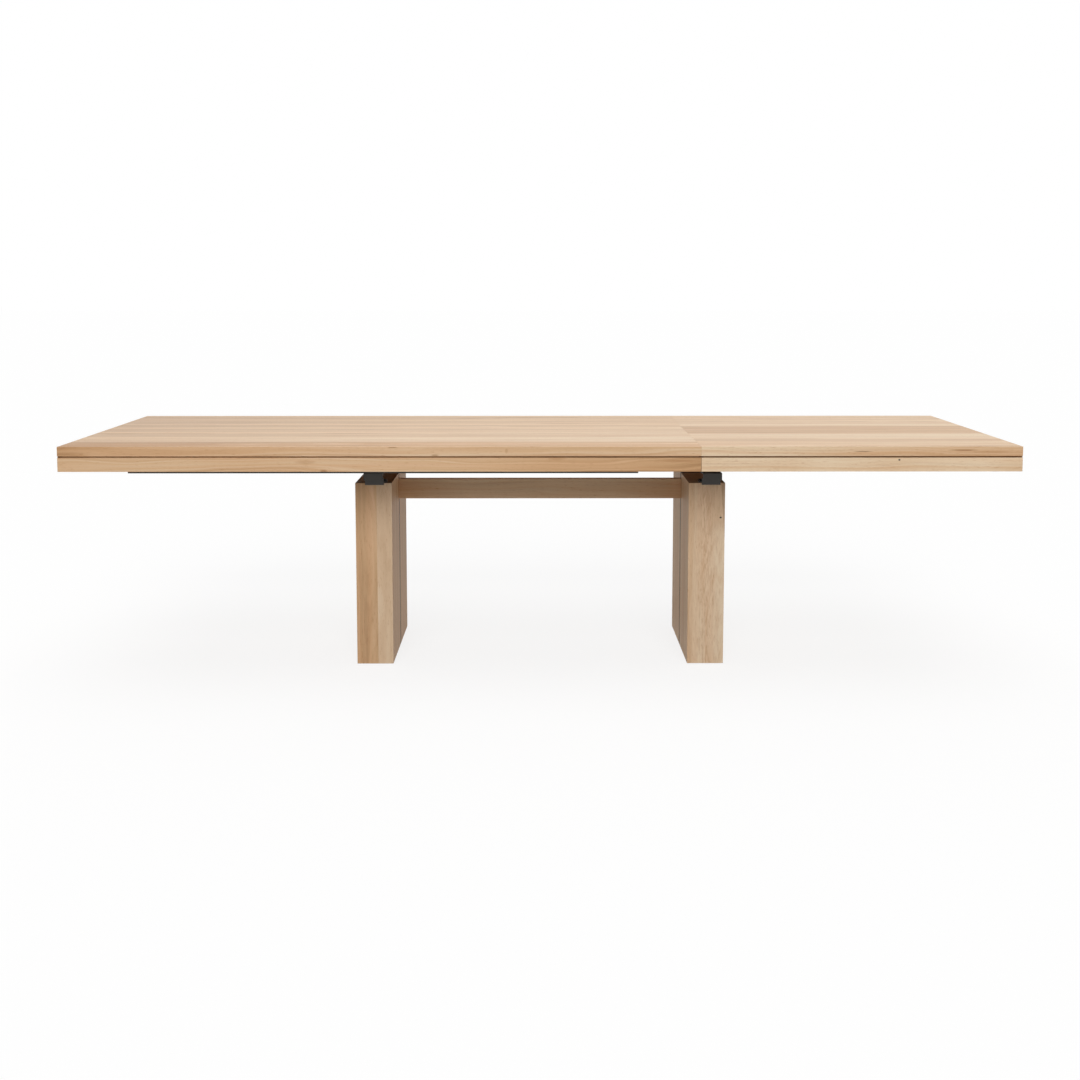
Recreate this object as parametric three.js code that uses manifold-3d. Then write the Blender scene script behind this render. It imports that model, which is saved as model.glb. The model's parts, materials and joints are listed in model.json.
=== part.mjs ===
// An extendable dining table in oak on two slab legs, shown extended: the main top is slid to the
// left of the centred base, and a loose leaf lies to its right on two pull-out arms.
// Millimetres. X runs along the table to the right, Y to the rear, Z up from the floor.
// The origin is on the floor under the middle of the extended top.

import * as THREE from 'three';
import { mergeVertices } from 'three/addons/utils/BufferGeometryUtils.js';
import Module from 'manifold-3d';

const wasm = await Module();
wasm.setup();

// ---- Clearances ----
const FIT_GAP = 0.3; // between two pieces that are fixed to each other
const SLIDE_GAP = 0.5; // between two faces that slide past each other
const RAIL_FLOAT = 1; // from the bracket's top to the moving rail that passes over it

// ---- Tops: the main top and the leaf share one section ----
const MAIN_LENGTH = 2000;
const LEAF_LENGTH = 1000;
const TOP_WIDTH = 1000;
const SEAM_GAP = 0.5;
const PANEL_THICKNESS = 29.5;
const RIM_THICKNESS = 30;
const RIM_HEIGHT = 43.5;
const SHADOW_GROOVE_HEIGHT = 5;
const SHADOW_GROOVE_DEPTH = 8; // along the front and the rear
const END_GROOVE_DEPTH = 1; // the ends are only scored
const BATTEN_WIDTH = 60;

// ---- Legs and crossbeam ----
const LEG_SPACING = 1100; // between the middles of the two legs
const LEG_THICKNESS = 120;
const LEG_WIDTH = 502;
const LEG_HEIGHT = 608;
const LEG_JOINT_CHAMFER = 4; // two of them make the V-groove between a leg's two boards
const SPLINE_THICKNESS = 8;
const SPLINE_WIDTH = 40;
const SPLINE_END_COVER = 12; // wood left over each end of the spline
const BEAM_THICKNESS = 32;
const BEAM_HEIGHT = 68;
const BEAM_DROP = 20; // from the top of the legs down to the top of the beam
const TENON_LENGTH = 50;
const TENON_THICKNESS = 20;
const TENON_SHOULDER = 10; // above and below the tenon
const FOOT_RADIUS = 15;
const FOOT_RECESS = 8;
const FOOT_PROUD = 2;
const FOOT_INSET = 50; // from the leg's front or rear face to the foot's centre

// ---- Steel brackets on the legs ----
const BRACKET_LENGTH = 62;
const BRACKET_PLATE = 4;
const BRACKET_HEIGHT = 36.7;
const BRACKET_STEP_HEIGHT = 13.7; // from the leg's top to the overhanging part
const BRACKET_OVERHANG = 39; // past the leg's face, under the moving rail
const BRACKET_LIP = 6; // how far the lip hangs down over the leg's face
const BRACKET_HEEL = 6; // past the fixed rail, towards the middle of the table
const LEFT_BRACKET_SHIFT = 4; // from the left leg's middle to its brackets' middle
const RIGHT_BRACKET_SHIFT = 13; // the same on the right leg
const TAB_LENGTH = 8; // past the bracket's end
const TAB_SCREW_INSET = 6; // from the tab's tip to its screw
const TAB_WIDTH = 36;
const TAB_INSET = 4; // from the leg's face to the tab's end
const BRACKET_SCREW = { headRadius: 5.5, headHeight: 5.5, shankRadius: 3, shankLength: 45 };

// ---- Rails ----
const MOVING_RAIL_HEIGHT = 33.7;
const MOVING_RAIL_WIDTH = 28;
const MOVING_RAIL_WALL = 6;
const MOVING_RAIL_LEFT_SETBACK = 155; // from the main top's left end
const MOVING_RAIL_RIGHT_SETBACK = 180; // from the main top's right end
const RAIL_STOP_LENGTH = 30;
const RAIL_SPACING = 12; // between the moving rail and the fixed rail
const FIXED_RAIL_WIDTH = 44;
const FIXED_RAIL_WALL = 3;
const FIXED_RAIL_TO_TOP = 3; // from the fixed rail up to the top's underside
const SLIDE_BLOCK_LENGTH = 80;
const TIE_WIDTH = 30;
const LEFT_TIE_INSET = 50; // from the fixed rail's left end to the left tie's middle

// ---- Pull-out arms ----
const ARM_INNER_LENGTH = 270; // of the arm that stays behind the seam, under the main top
const ARM_WIDTH = 36;
const ARM_WALL = 3;
const ARM_SETBACK = 120; // from the leaf's right end to the arm's end
const ARM_STOP_LENGTH = 30;
const ARM_STOP_INSET = 25; // from the arm's inner end to its stop
const ARM_STOP_WIDTH = 15;
const END_TIE_HEIGHT = 18;
const RUNNER_NARROWING = 4; // the runner is this much narrower than the arm under it
const RUNNER_END_SPACE = 30; // from the fixed rail's end to the runner
const RUNNER_SETBACK = 80; // from the leaf's right end to the runner

// ---- Swing hooks that pull the leaf to the main top ----
const HOOK_OFFSET = 150; // from the middle of the table
const HOOK_THICKNESS = 4;
const HOOK_HALF_WIDTH = 14;
const HOOK_TIP = 9; // metal past the notch
const HOOK_TIP_CORNER = 5;
const STUD_RADIUS = 5;
const STUD_DEPTH = 18; // how far it is screwed into the rim
const STUD_TIP = 0.6; // below the hook
const HOOK_PIVOT = { headRadius: 8, headHeight: 4.5, shankRadius: 4, shankLength: 34 };
const LEAF_BATTEN_INSET = 150; // from each end of the leaf to a batten's middle

const ROUND_SEGMENTS = 32;

// ---- Heights worked out from the stack: foot, leg, bracket, rail, top ----
const legBottomZ = FOOT_PROUD;
const legTopZ = legBottomZ + LEG_HEIGHT;
const bracketBottomZ = legTopZ + FIT_GAP;
const bracketTopZ = bracketBottomZ + BRACKET_HEIGHT;
const movingRailZ = bracketTopZ + RAIL_FLOAT;
const undersideZ = movingRailZ + MOVING_RAIL_HEIGHT + FIT_GAP;
const fixedRailZ = bracketTopZ + FIT_GAP;
const fixedRailHeight = undersideZ - FIXED_RAIL_TO_TOP - fixedRailZ;
const armZ = fixedRailZ + FIXED_RAIL_WALL + SLIDE_GAP;
const armHeight = fixedRailHeight - 2 * (FIXED_RAIL_WALL + SLIDE_GAP);
const panelBottom = RIM_HEIGHT + SHADOW_GROOVE_HEIGHT; // above the top's underside
const innerHeight = panelBottom - FIT_GAP; // of a batten or a rim's tongue

// ---- Places across the table, as distances from its middle ----
const legFaceY = LEG_WIDTH / 2;
const movingRailOuterY = legFaceY + BRACKET_OVERHANG;
const movingRailInnerY = movingRailOuterY - MOVING_RAIL_WIDTH;
const fixedRailOuterY = movingRailInnerY - RAIL_SPACING;
const fixedRailInnerY = fixedRailOuterY - FIXED_RAIL_WIDTH;
const armOuterY = fixedRailOuterY - FIXED_RAIL_WALL - SLIDE_GAP;
const armInnerY = armOuterY - ARM_WIDTH;
const bracketInnerY = fixedRailInnerY - BRACKET_HEEL;
const tabOuterY = legFaceY - TAB_INSET;
const tabMiddleY = tabOuterY - TAB_WIDTH / 2;
const screwOffset = BRACKET_LENGTH / 2 + TAB_LENGTH - TAB_SCREW_INSET; // from the bracket's middle
const innerHalfWidth = TOP_WIDTH / 2 - RIM_THICKNESS - FIT_GAP;

// ---- Places along the table ----
const tableLeftX = -(MAIN_LENGTH + SEAM_GAP + LEAF_LENGTH) / 2;
const mainMiddleX = tableLeftX + MAIN_LENGTH / 2;
const mainRightX = tableLeftX + MAIN_LENGTH;
const leafLeftX = mainRightX + SEAM_GAP;
const leafMiddleX = leafLeftX + LEAF_LENGTH / 2;
const leafRightX = leafLeftX + LEAF_LENGTH;
const topTravel = -mainMiddleX; // closing centres the main top on the base
const fixedRailHalf = (LEG_SPACING + LEG_THICKNESS) / 2;
const leftBlockX = -LEG_SPACING / 2;
const movingRailLeftX = tableLeftX + MOVING_RAIL_LEFT_SETBACK;
const movingRailRightX = mainRightX - MOVING_RAIL_RIGHT_SETBACK;
const rightStopX = movingRailRightX - RAIL_STOP_LENGTH;
const rightBlockX = rightStopX - SLIDE_GAP - SLIDE_BLOCK_LENGTH / 2;
const leftStopEndX = leftBlockX - SLIDE_BLOCK_LENGTH / 2 - topTravel - SLIDE_GAP;
const armRightX = leafRightX - ARM_SETBACK;
const armLeftX = mainRightX - ARM_INNER_LENGTH;
const armLength = armRightX - armLeftX;
const armStopEndX = armLeftX + ARM_STOP_INSET + ARM_STOP_LENGTH;
const seamBattenX = mainRightX - RIM_THICKNESS - FIT_GAP - BATTEN_WIDTH / 2;
const studX = leafLeftX + RIM_THICKNESS / 2;
const hookReach = studX - seamBattenX;

// ---- Finishes ----
const OAK = { color: 0xc9a47c, roughness: 0.55, metalness: 0 };
const OAK_LIGHT = { color: 0xd8bc98, roughness: 0.55, metalness: 0 };
const BEECH = { color: 0xb98f63, roughness: 0.65, metalness: 0 };
const BLACK_STEEL = { color: 0x3c3a36, roughness: 0.5, metalness: 0.4 };
const ZINC_STEEL = { color: 0x8d8f91, roughness: 0.4, metalness: 0.8 };
const NYLON = { color: 0x22211f, roughness: 0.5, metalness: 0 };

const SIDES = { front: -1, rear: 1 };
const ENDS = { left: -1, right: 1 };
const X_AXIS = new THREE.Vector3(1, 0, 0);
const Y_AXIS = new THREE.Vector3(0, 1, 0);
const Z_AXIS = new THREE.Vector3(0, 0, 1);

// A closed shape through the given points, with an optional closed hole. Either may be given in
// any direction, so a mirrored section needs no care.
function outline(points, hole) {
  const anticlockwise = (list) => {
    const loop = list.map(([u, v]) => new THREE.Vector2(u, v));
    return THREE.ShapeUtils.isClockWise(loop) ? loop.reverse() : loop;
  };
  const shape = new THREE.Shape(anticlockwise(points));
  if (hole) {
    shape.holes.push(new THREE.Path(anticlockwise(hole)));
  }
  return shape;
}

function rectangle(u0, u1, v0, v1) {
  return [
    [u0, v0],
    [u1, v0],
    [u1, v1],
    [u0, v1],
  ];
}

// Extrudes an outline upwards from z = 0.
function upwards(shape, height) {
  return new THREE.ExtrudeGeometry(shape, {
    depth: height,
    bevelEnabled: false,
    curveSegments: ROUND_SEGMENTS / 2,
  });
}

// Extrudes an outline drawn in (y, z) along X, from x = 0.
function alongX(shape, length) {
  const turn = new THREE.Matrix4().makeBasis(Y_AXIS, Z_AXIS, X_AXIS);
  return upwards(shape, length).applyMatrix4(turn);
}

// Extrudes an outline drawn in (x, z) along Y, centred on y = 0.
function acrossY(shape, length) {
  const turn = new THREE.Matrix4().makeBasis(X_AXIS, Z_AXIS, Y_AXIS.clone().negate());
  return upwards(shape, length).applyMatrix4(turn).translate(0, length / 2, 0);
}

function box(x0, x1, y0, y1, z0, z1) {
  const geometry = new THREE.BoxGeometry(x1 - x0, y1 - y0, z1 - z0);
  return geometry.translate((x0 + x1) / 2, (y0 + y1) / 2, (z0 + z1) / 2);
}

// An upright round rod from z0 to z1.
function rod(x, y, radius, z0, z1) {
  const geometry = new THREE.CylinderGeometry(radius, radius, z1 - z0, ROUND_SEGMENTS);
  return geometry.rotateX(Math.PI / 2).translate(x, y, (z0 + z1) / 2);
}

// A screw with its head's inner face at z = 0: the shank points along direction (1 up, -1 down).
function screw({ headRadius, headHeight, shankRadius, shankLength }, direction) {
  const profile = [
    [0, -headHeight],
    [headRadius, -headHeight],
    [headRadius, 0],
    [shankRadius, 0],
    [shankRadius, shankLength],
    [0, shankLength],
  ].map(([r, z]) => new THREE.Vector2(r, z));
  const geometry = new THREE.LatheGeometry(profile, ROUND_SEGMENTS);
  return geometry.rotateX((direction * Math.PI) / 2);
}

function toSolid(geometry) {
  const bare = geometry.clone();
  bare.deleteAttribute('normal');
  bare.deleteAttribute('uv');
  const merged = mergeVertices(bare);
  return new wasm.Manifold(
    new wasm.Mesh({
      numProp: 3,
      vertProperties: new Float32Array(merged.attributes.position.array),
      triVerts: new Uint32Array(merged.index.array),
    }),
  );
}

function toGeometry(solid) {
  const mesh = solid.getMesh();
  const geometry = new THREE.BufferGeometry();
  geometry.setAttribute('position', new THREE.BufferAttribute(mesh.vertProperties, 3));
  geometry.setIndex(new THREE.BufferAttribute(mesh.triVerts, 1));
  geometry.computeVertexNormals();
  return geometry;
}

function cut(body, ...tools) {
  return toGeometry(tools.reduce((solid, tool) => solid.subtract(toSolid(tool)), toSolid(body)));
}

function join(body, ...additions) {
  return toGeometry(additions.reduce((solid, more) => solid.add(toSolid(more)), toSolid(body)));
}

function piece(parent, name, geometry, finish, [x, y, z] = [0, 0, 0]) {
  const mesh = new THREE.Mesh(geometry, new THREE.MeshStandardMaterial(finish));
  mesh.name = name;
  mesh.position.set(x, y, z);
  parent.add(mesh);
  return mesh;
}

function assembly(parent, x, y, z) {
  const group = new THREE.Group();
  group.position.set(x, y, z);
  parent.add(group);
  return group;
}

// ---- Tops ----

// A rim along one edge, with mitred ends: u runs inwards from the outer face, and the rebate at
// its upper outer corner is the shadow groove under the panel.
function mitred(section, length) {
  const geometry = alongX(outline(section), 1);
  const position = geometry.attributes.position;
  for (let i = 0; i < position.count; i += 1) {
    const mitredHalf = length / 2 - position.getY(i) - FIT_GAP / Math.SQRT2;
    position.setX(i, position.getX(i) > 0 ? mitredHalf : -mitredHalf);
  }
  return geometry;
}

function groovedRim(length, grooveDepth) {
  const section = [
    [0, 0],
    [RIM_THICKNESS, 0],
    [RIM_THICKNESS, innerHeight],
    [grooveDepth, innerHeight],
    [grooveDepth, RIM_HEIGHT],
    [0, RIM_HEIGHT],
  ];
  return mitred(section, length);
}

// The rim at the seam is plain, and the front and rear grooves run out across its two ends.
function seamRim() {
  const halfLength = TOP_WIDTH / 2;
  const above = innerHeight + FIT_GAP;
  const runOut = (x) => box(x, x + SHADOW_GROOVE_DEPTH, -FIT_GAP, SHADOW_GROOVE_DEPTH, RIM_HEIGHT, above);
  const blank = mitred(rectangle(0, RIM_THICKNESS, 0, innerHeight), TOP_WIDTH);
  return cut(blank, runOut(-halfLength), runOut(halfLength - SHADOW_GROOVE_DEPTH));
}

// Panel and rims of one top, centred on its group, whose z = 0 is the top's underside.
function buildTop(group, prefix, length, finish, endRims) {
  const halfLength = length / 2;
  const halfWidth = TOP_WIDTH / 2;
  const panelTop = panelBottom + PANEL_THICKNESS;
  const panel = box(-halfLength, halfLength, -halfWidth, halfWidth, panelBottom, panelTop);
  piece(group, `${prefix}_panel`, panel, finish);

  const longRim = () => groovedRim(length, SHADOW_GROOVE_DEPTH);
  piece(group, `${prefix}_rim_front`, longRim(), finish, [0, -halfWidth, 0]);
  const rearRim = piece(group, `${prefix}_rim_rear`, longRim(), finish, [0, halfWidth, 0]);
  rearRim.rotation.z = Math.PI;
  const rightRim = piece(group, `${prefix}_rim_right`, endRims.right, finish, [halfLength, 0, 0]);
  rightRim.rotation.z = Math.PI / 2;
  const leftRim = piece(group, `${prefix}_rim_left`, endRims.left, finish, [-halfLength, 0, 0]);
  leftRim.rotation.z = -Math.PI / 2;
}

const freeEndRim = () => groovedRim(TOP_WIDTH, END_GROOVE_DEPTH);

function batten(group, name, x, holes = []) {
  const blank = box(-BATTEN_WIDTH / 2, BATTEN_WIDTH / 2, -innerHalfWidth, innerHalfWidth, 0, innerHeight);
  piece(group, name, holes.length ? cut(blank, ...holes) : blank, BEECH, [x, 0, 0]);
}

// ---- Base ----

// One of the two boards of a leg. The leg's group has its origin at the middle of its foot, and
// inwards is the direction (1 or -1) in which the crossbeam lies.
function legBoard(side, inwards, screwX) {
  const halfX = LEG_THICKNESS / 2;
  const jointY = (side * FIT_GAP) / 2;
  const chamferY = jointY + side * LEG_JOINT_CHAMFER;
  const faceY = side * legFaceY;
  const plan = outline([
    [-halfX, chamferY],
    [-halfX, faceY],
    [halfX, faceY],
    [halfX, chamferY],
    [halfX - LEG_JOINT_CHAMFER, jointY],
    [LEG_JOINT_CHAMFER - halfX, jointY],
  ]);
  const splineHalfX = SPLINE_THICKNESS / 2 + FIT_GAP;
  const splineY = SPLINE_WIDTH / 2 + FIT_GAP;
  const groove = box(
    -splineHalfX,
    splineHalfX,
    -splineY,
    splineY,
    SPLINE_END_COVER - FIT_GAP,
    LEG_HEIGHT - SPLINE_END_COVER + FIT_GAP,
  );
  const tenonEndX = inwards * (halfX - TENON_LENGTH - FIT_GAP);
  const tenonMouthX = inwards * (halfX + FIT_GAP);
  const tenonY = TENON_THICKNESS / 2 + FIT_GAP;
  const beamTop = LEG_HEIGHT - BEAM_DROP;
  const mortise = box(
    Math.min(tenonEndX, tenonMouthX),
    Math.max(tenonEndX, tenonMouthX),
    -tenonY,
    tenonY,
    beamTop - BEAM_HEIGHT + TENON_SHOULDER - FIT_GAP,
    beamTop - TENON_SHOULDER + FIT_GAP,
  );
  const footHole = rod(
    0,
    side * (legFaceY - FOOT_INSET),
    FOOT_RADIUS + FIT_GAP,
    -FOOT_PROUD,
    FOOT_RECESS + FIT_GAP,
  );
  const screwHole = rod(
    screwX,
    side * tabMiddleY,
    BRACKET_SCREW.shankRadius + FIT_GAP,
    LEG_HEIGHT + BRACKET_PLATE - BRACKET_SCREW.shankLength,
    LEG_HEIGHT + BRACKET_PLATE,
  );
  return cut(upwards(plan, LEG_HEIGHT), groove, mortise, footHole, screwHole);
}

// A bracket of bent plate, open at the back: it stands on the leg, hooks its lip over the leg's
// face, steps out under the moving rail and folds back to carry the fixed rail. Its group has
// z = 0 at the plate's lower face, x = 0 at its middle.
function bracketGeometry(side, inwards) {
  const lipInnerY = legFaceY + FIT_GAP;
  const lipOuterY = lipInnerY + BRACKET_PLATE;
  const section = [
    [bracketInnerY, 0],
    [lipInnerY, 0],
    [lipInnerY, -BRACKET_LIP],
    [lipOuterY, -BRACKET_LIP],
    [lipOuterY, BRACKET_STEP_HEIGHT],
    [movingRailOuterY, BRACKET_STEP_HEIGHT],
    [movingRailOuterY, BRACKET_HEIGHT],
    [bracketInnerY, BRACKET_HEIGHT],
    [bracketInnerY, BRACKET_HEIGHT - BRACKET_PLATE],
    [movingRailOuterY - BRACKET_PLATE, BRACKET_HEIGHT - BRACKET_PLATE],
    [movingRailOuterY - BRACKET_PLATE, BRACKET_STEP_HEIGHT + BRACKET_PLATE],
    [lipInnerY, BRACKET_STEP_HEIGHT + BRACKET_PLATE],
    [lipInnerY, BRACKET_PLATE],
    [bracketInnerY, BRACKET_PLATE],
  ].map(([y, z]) => [side * y, z]);
  const body = alongX(outline(section), BRACKET_LENGTH).translate(-BRACKET_LENGTH / 2, 0, 0);
  const tabRootX = inwards * (BRACKET_LENGTH / 2 - BRACKET_PLATE);
  const tabTipX = inwards * (BRACKET_LENGTH / 2 + TAB_LENGTH);
  const tab = box(
    Math.min(tabRootX, tabTipX),
    Math.max(tabRootX, tabTipX),
    side * tabMiddleY - TAB_WIDTH / 2,
    side * tabMiddleY + TAB_WIDTH / 2,
    0,
    BRACKET_PLATE,
  );
  const hole = rod(
    inwards * screwOffset,
    side * tabMiddleY,
    BRACKET_SCREW.shankRadius + FIT_GAP,
    -BRACKET_PLATE,
    2 * BRACKET_PLATE,
  );
  return cut(join(body, tab), hole);
}

function buildLeg(base, end, endSign) {
  const inwards = -endSign;
  const leg = assembly(base, (endSign * LEG_SPACING) / 2, 0, legBottomZ);
  const bracketX = endSign < 0 ? LEFT_BRACKET_SHIFT : RIGHT_BRACKET_SHIFT;
  const screwX = bracketX + inwards * screwOffset;
  const footHeight = FOOT_RECESS + FOOT_PROUD;
  const spline = box(
    -SPLINE_THICKNESS / 2,
    SPLINE_THICKNESS / 2,
    -SPLINE_WIDTH / 2,
    SPLINE_WIDTH / 2,
    SPLINE_END_COVER,
    LEG_HEIGHT - SPLINE_END_COVER,
  );
  piece(leg, `leg_${end}_spline`, spline, BEECH);
  for (const [name, side] of Object.entries(SIDES)) {
    const footY = side * (legFaceY - FOOT_INSET);
    const bracketBottom = LEG_HEIGHT + FIT_GAP;
    const headBottom = bracketBottom + BRACKET_PLATE + FIT_GAP;
    piece(leg, `leg_${end}_${name}_board`, legBoard(side, inwards, screwX), OAK);
    piece(leg, `foot_${end}_${name}`, rod(0, footY, FOOT_RADIUS, 0, footHeight), NYLON, [0, 0, -FOOT_PROUD]);
    const bracket = bracketGeometry(side, inwards);
    piece(leg, `bracket_${end}_${name}`, bracket, BLACK_STEEL, [bracketX, 0, bracketBottom]);
    const screwPlace = [screwX, side * tabMiddleY, headBottom];
    piece(leg, `bracket_screw_${end}_${name}`, screw(BRACKET_SCREW, -1), BLACK_STEEL, screwPlace);
  }
}

function crossbeam() {
  const halfLength = (LEG_SPACING - LEG_THICKNESS) / 2 - FIT_GAP;
  const halfThickness = BEAM_THICKNESS / 2;
  const tenonEnd = halfLength + FIT_GAP + TENON_LENGTH;
  const halfTenon = TENON_THICKNESS / 2;
  const body = box(-halfLength, halfLength, -halfThickness, halfThickness, 0, BEAM_HEIGHT);
  const tenons = box(
    -tenonEnd,
    tenonEnd,
    -halfTenon,
    halfTenon,
    TENON_SHOULDER,
    BEAM_HEIGHT - TENON_SHOULDER,
  );
  return join(body, tenons);
}

function fixedRail(side) {
  const section = [
    [fixedRailOuterY, 0],
    [fixedRailOuterY, fixedRailHeight],
    [fixedRailInnerY, fixedRailHeight],
    [fixedRailInnerY, fixedRailHeight - FIXED_RAIL_WALL],
    [fixedRailOuterY - FIXED_RAIL_WALL, fixedRailHeight - FIXED_RAIL_WALL],
    [fixedRailOuterY - FIXED_RAIL_WALL, FIXED_RAIL_WALL],
    [fixedRailInnerY, FIXED_RAIL_WALL],
    [fixedRailInnerY, 0],
  ].map(([y, z]) => [side * y, z]);
  return alongX(outline(section), 2 * fixedRailHalf);
}

function frameTie() {
  const inner = [FIXED_RAIL_WALL, TIE_WIDTH - FIXED_RAIL_WALL];
  const section = outline(
    rectangle(0, TIE_WIDTH, 0, fixedRailHeight),
    rectangle(...inner, FIXED_RAIL_WALL, fixedRailHeight - FIXED_RAIL_WALL),
  );
  return acrossY(section, 2 * (fixedRailInnerY - FIT_GAP));
}

function slideBlock(side) {
  const inner = side * (fixedRailOuterY + FIT_GAP);
  const outer = side * (movingRailOuterY - MOVING_RAIL_WALL - SLIDE_GAP);
  const bottom = movingRailZ + MOVING_RAIL_WALL + SLIDE_GAP;
  const top = movingRailZ + MOVING_RAIL_HEIGHT - MOVING_RAIL_WALL - FIT_GAP;
  const half = SLIDE_BLOCK_LENGTH / 2;
  return box(-half, half, Math.min(inner, outer), Math.max(inner, outer), bottom, top);
}

function buildBase(table) {
  const base = assembly(table, 0, 0, 0);
  const beamZ = legTopZ - BEAM_DROP - BEAM_HEIGHT;
  const leftTieX = -fixedRailHalf + LEFT_TIE_INSET - TIE_WIDTH / 2;
  const rightTieX = armStopEndX + SLIDE_GAP; // it is what the arms' stops run against
  for (const [end, endSign] of Object.entries(ENDS)) {
    buildLeg(base, end, endSign);
  }
  piece(base, 'crossbeam', crossbeam(), OAK, [0, 0, beamZ]);
  piece(base, 'frame_tie_left', frameTie(), BLACK_STEEL, [leftTieX, 0, fixedRailZ]);
  piece(base, 'frame_tie_right', frameTie(), BLACK_STEEL, [rightTieX, 0, fixedRailZ]);
  for (const [name, side] of Object.entries(SIDES)) {
    piece(base, `fixed_rail_${name}`, fixedRail(side), BLACK_STEEL, [-fixedRailHalf, 0, fixedRailZ]);
    piece(base, `slide_block_left_${name}`, slideBlock(side), NYLON, [leftBlockX, 0, 0]);
    piece(base, `slide_block_right_${name}`, slideBlock(side), NYLON, [rightBlockX, 0, 0]);
  }
}

// ---- Main top ----

// The channel opens towards the middle of the table. A stop is welded into it at each end of the
// travel: the right one meets the right slide block, the left one meets the left slide block.
function movingRail(side) {
  const webY = movingRailOuterY - MOVING_RAIL_WALL;
  const flangeZ = MOVING_RAIL_HEIGHT - MOVING_RAIL_WALL;
  const toSide = ([y, z]) => [side * y, z];
  const section = [
    [movingRailOuterY, 0],
    [movingRailOuterY, MOVING_RAIL_HEIGHT],
    [movingRailInnerY, MOVING_RAIL_HEIGHT],
    [movingRailInnerY, flangeZ],
    [webY, flangeZ],
    [webY, MOVING_RAIL_WALL],
    [movingRailInnerY, MOVING_RAIL_WALL],
    [movingRailInnerY, 0],
  ].map(toSide);
  const length = movingRailRightX - movingRailLeftX;
  const weld = MOVING_RAIL_WALL / 2;
  const stopSection = rectangle(
    movingRailInnerY,
    webY + weld,
    MOVING_RAIL_WALL - weld,
    flangeZ + weld,
  ).map(toSide);
  const stop = () => alongX(outline(stopSection), RAIL_STOP_LENGTH);
  return join(
    alongX(outline(section), length),
    stop().translate(rightStopX - movingRailLeftX, 0, 0),
    stop().translate(leftStopEndX - RAIL_STOP_LENGTH - movingRailLeftX, 0, 0),
  );
}

// A flat claw on a pivot at its origin. At rest it points along +X, and its notch, open on the
// outer side, holds the leaf's stud. Swinging the claw inwards draws the notch off the stud.
function hookGeometry(side) {
  const notch = STUD_RADIUS + SLIDE_GAP;
  const tipX = hookReach + notch + HOOK_TIP;
  const flare = hookReach - Math.sqrt(hookReach ** 2 - HOOK_HALF_WIDTH ** 2);
  const claw = new THREE.Shape();
  claw.moveTo(0, -HOOK_HALF_WIDTH);
  claw.lineTo(tipX - HOOK_TIP_CORNER, -HOOK_HALF_WIDTH);
  claw.lineTo(tipX, HOOK_TIP_CORNER - HOOK_HALF_WIDTH);
  claw.lineTo(tipX, HOOK_HALF_WIDTH);
  claw.lineTo(hookReach + notch, HOOK_HALF_WIDTH);
  claw.lineTo(hookReach + notch, 0);
  claw.absarc(hookReach, 0, notch, 0, -Math.PI, true);
  claw.lineTo(hookReach - notch - flare, HOOK_HALF_WIDTH);
  claw.lineTo(0, HOOK_HALF_WIDTH);
  claw.absarc(0, 0, HOOK_HALF_WIDTH, Math.PI / 2, (3 * Math.PI) / 2, false);
  const toSide = (point) => [point.x, side * point.y];
  const hole = new THREE.Path().absarc(0, 0, HOOK_PIVOT.shankRadius + FIT_GAP, 0, 2 * Math.PI, false);
  const points = claw.getPoints(ROUND_SEGMENTS / 4).map(toSide);
  return upwards(outline(points, hole.getPoints(ROUND_SEGMENTS / 2).map(toSide)), HOOK_THICKNESS);
}

const hookZ = -SLIDE_GAP - HOOK_THICKNESS; // below the top's underside
const pivotHeadZ = hookZ - FIT_GAP;

function buildMainTop(table) {
  const top = assembly(table, mainMiddleX, 0, undersideZ);
  const railZ = movingRailZ - undersideZ;
  const pivotX = seamBattenX - mainMiddleX;
  const battenOverhang = BATTEN_WIDTH / 2;
  const leftX = movingRailLeftX + battenOverhang - mainMiddleX;
  const rightX = movingRailRightX - battenOverhang - mainMiddleX;
  const pivotHoles = Object.values(SIDES).map((side) =>
    rod(
      0,
      side * HOOK_OFFSET,
      HOOK_PIVOT.shankRadius + FIT_GAP,
      pivotHeadZ,
      pivotHeadZ + HOOK_PIVOT.shankLength + FIT_GAP,
    ),
  );
  buildTop(top, 'main', MAIN_LENGTH, OAK, { left: freeEndRim(), right: seamRim() });
  batten(top, 'main_batten_left', leftX);
  batten(top, 'main_batten_middle', (leftX + rightX) / 2);
  batten(top, 'main_batten_right', rightX);
  batten(top, 'main_batten_seam', pivotX, pivotHoles);
  for (const [name, side] of Object.entries(SIDES)) {
    const pivotY = side * HOOK_OFFSET;
    const railPlace = [movingRailLeftX - mainMiddleX, 0, railZ];
    piece(top, `moving_rail_${name}`, movingRail(side), BLACK_STEEL, railPlace);
    piece(top, `hook_pivot_${name}`, screw(HOOK_PIVOT, 1), ZINC_STEEL, [pivotX, pivotY, pivotHeadZ]);
    piece(top, `leaf_hook_${name}`, hookGeometry(side), ZINC_STEEL, [pivotX, pivotY, hookZ]);
  }
}

// ---- Leaf ----

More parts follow.
